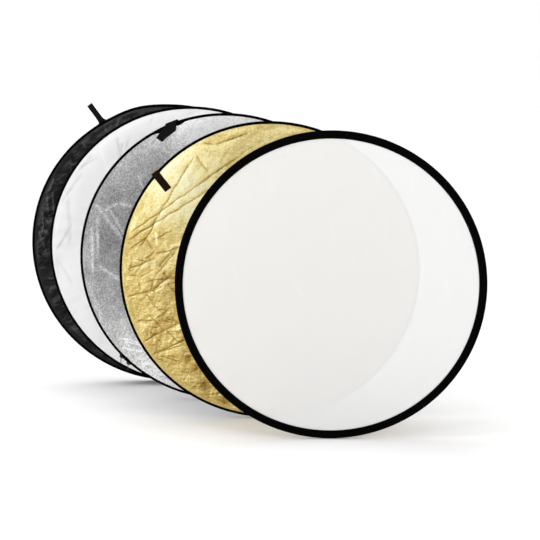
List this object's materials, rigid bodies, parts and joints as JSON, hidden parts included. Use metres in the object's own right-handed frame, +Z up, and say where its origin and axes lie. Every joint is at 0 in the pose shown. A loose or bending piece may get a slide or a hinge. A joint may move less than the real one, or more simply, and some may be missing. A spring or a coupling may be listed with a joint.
{
  "type": "collapsible reflector disc",
  "caption": "Set of round collapsible light reflectors, a translucent diffuser and zip-on gold, silver, white and black covers, that fold and gather into one stack.",
  "frame": {"origin": "on the ground under the middle of the row", "axes": "+Z up, +X to the right seen from the front, the discs face -Y with the diffuser frontmost"},
  "size_m": [1.2362, 0.6912, 0.8036],
  "materials": {
    "diffuser": "thin translucent diffusion cloth",
    "gold": "metallic gold laminate, creased",
    "silver": "metallic silver laminate, fine grain",
    "white": "matt white cloth",
    "black": "matt black cloth, faintly creased",
    "binding": "black elastic binding tape",
    "steel": "blued spring steel band",
    "zip": "black coil zip",
    "slider": "black enamelled zinc",
    "webbing": "woven webbing"
  },
  "bodies": {
    "translucent_left": {"translucent_fabric_left": "diffuser", "translucent_binding_left": "binding", "translucent_hoop_left": "steel", "translucent_ferrule": "steel"},
    "translucent_right": {"translucent_fabric_right": "diffuser", "translucent_binding_right": "binding", "translucent_hoop_right": "steel"},
    "gold_disc": {"gold_front": "gold", "gold_back": "silver", "gold_hoop": "steel", "gold_ferrule": "steel", "gold_piping": "binding", "gold_zip": "zip"},
    "silver_disc": {"silver_front": "silver", "silver_back": "white", "silver_hoop": "steel", "silver_ferrule": "steel", "silver_piping": "binding", "silver_zip": "zip"},
    "white_disc": {"white_front": "white", "white_back": "black", "white_hoop": "steel", "white_ferrule": "steel", "white_piping": "binding", "white_zip": "zip"},
    "black_left": {"black_front_left": "black", "black_back_left": "white", "black_hoop_left": "steel", "black_piping_left": "binding", "black_ferrule": "steel"},
    "black_right": {"black_front_right": "black", "black_back_right": "white", "black_hoop_right": "steel", "black_piping_right": "binding", "black_zip": "zip"},
    "gold_tab": {"gold_tab": "webbing"},
    "silver_tab": {"silver_tab": "webbing"},
    "black_tab": {"black_tab": "webbing"},
    "gold_slider": {"gold_slider": "slider"},
    "gold_pull": {"gold_pull": "slider"},
    "silver_upper_slider": {"silver_upper_slider": "slider"},
    "silver_upper_pull": {"silver_upper_pull": "slider"},
    "silver_lower_slider": {"silver_lower_slider": "slider"},
    "silver_lower_pull": {"silver_lower_pull": "slider"},
    "white_slider": {"white_slider": "slider"},
    "white_pull": {"white_pull": "slider"},
    "black_slider": {"black_slider": "slider"},
    "black_pull": {"black_pull": "slider"}
  },
  "joints": [
    {"name": "translucent_fold", "type": "hinge", "parent": "translucent_left", "child": "translucent_right", "pos_m": [0.21765, -0.34615, 0.4], "axis": [0, 0, -1], "range_deg": [0, 165], "stiffness_Nm_per_rad": 0.3},
    {"name": "gold_slide", "type": "slide", "parent": "translucent_left", "child": "gold_disc", "axis": [0.5933, -0.805, 0], "range_m": [0, 0.2646]},
    {"name": "silver_slide", "type": "slide", "parent": "gold_disc", "child": "silver_disc", "axis": [0.5304, -0.8478, 0], "range_m": [0, 0.23]},
    {"name": "white_slide", "type": "slide", "parent": "silver_disc", "child": "white_disc", "axis": [0.5145, -0.8575, 0], "range_m": [0, 0.1983]},
    {"name": "black_slide", "type": "slide", "parent": "white_disc", "child": "black_left", "axis": [0.8206, -0.5715, 0], "range_m": [0, 0.0682]},
    {"name": "black_fold", "type": "hinge", "parent": "black_left", "child": "black_right", "pos_m": [-0.21935, 0.34615, 0.4], "axis": [0, 0, 1], "range_deg": [0, 165], "stiffness_Nm_per_rad": 0.3},
    {"name": "gold_tab_flip", "type": "hinge", "parent": "gold_disc", "child": "gold_tab", "pos_m": [-0.24237, -0.11875, 0.66341], "axis": [-0.7869, 0, -0.617], "range_deg": [0, 170]},
    {"name": "silver_tab_flip", "type": "hinge", "parent": "silver_disc", "child": "silver_tab", "pos_m": [-0.20607, 0.09225, 0.77505], "axis": [-0.933, 0, -0.36], "range_deg": [0, 160]},
    {"name": "black_tab_flip", "type": "hinge", "parent": "black_left", "child": "black_tab", "pos_m": [-0.41432, 0.34005, 0.7503], "axis": [0.81, 0, 0.5864], "range_deg": [-85, 85]},
    {"name": "gold_zip_run", "type": "hinge", "parent": "gold_disc", "child": "gold_slider", "pos_m": [0.06065, -0.11195, 0.4], "axis": [0, -1, 0], "range_deg": [-185, 0]},
    {"name": "gold_pull_swing", "type": "hinge", "parent": "gold_slider", "child": "gold_pull", "pos_m": [0.4401, -0.11195, 0.26189], "axis": [0, -1, 0], "range_deg": [-17, 157]},
    {"name": "silver_upper_zip_run", "type": "hinge", "parent": "silver_disc", "child": "silver_upper_slider", "pos_m": [-0.06135, 0.09905, 0.4], "axis": [0, -1, 0], "range_deg": [-101, 0]},
    {"name": "silver_upper_pull_swing", "type": "hinge", "parent": "silver_upper_slider", "child": "silver_upper_pull", "pos_m": [-0.35231, 0.09905, 0.12], "axis": [0, -1, 0], "range_deg": [-133, 40]},
    {"name": "silver_lower_zip_run", "type": "hinge", "parent": "silver_disc", "child": "silver_lower_slider", "pos_m": [-0.06135, 0.09905, 0.4], "axis": [0, -1, 0], "range_deg": [0, 114]},
    {"name": "silver_lower_pull_swing", "type": "hinge", "parent": "silver_lower_slider", "child": "silver_lower_pull", "pos_m": [-0.33311, 0.09905, 0.10134], "axis": [0, -1, 0], "range_deg": [-129, 44]},
    {"name": "white_zip_run", "type": "hinge", "parent": "white_disc", "child": "white_slider", "pos_m": [-0.16335, 0.28505, 0.4], "axis": [0, -1, 0], "range_deg": [-208, 0]},
    {"name": "white_pull_swing", "type": "hinge", "parent": "white_slider", "child": "white_pull", "pos_m": [0.2161, 0.28505, 0.26189], "axis": [0, -1, 0], "range_deg": [-17, 157]},
    {"name": "black_zip_run", "type": "hinge", "parent": "black_right", "child": "black_slider", "pos_m": [-0.21885, 0.34005, 0.4], "axis": [0, -1, 0], "range_deg": [0, 96]},
    {"name": "black_pull_swing", "type": "hinge", "parent": "black_slider", "child": "black_pull", "pos_m": [0.09048, 0.34005, 0.14044], "axis": [0, -1, 0], "range_deg": [-37, 137]}
  ]
}
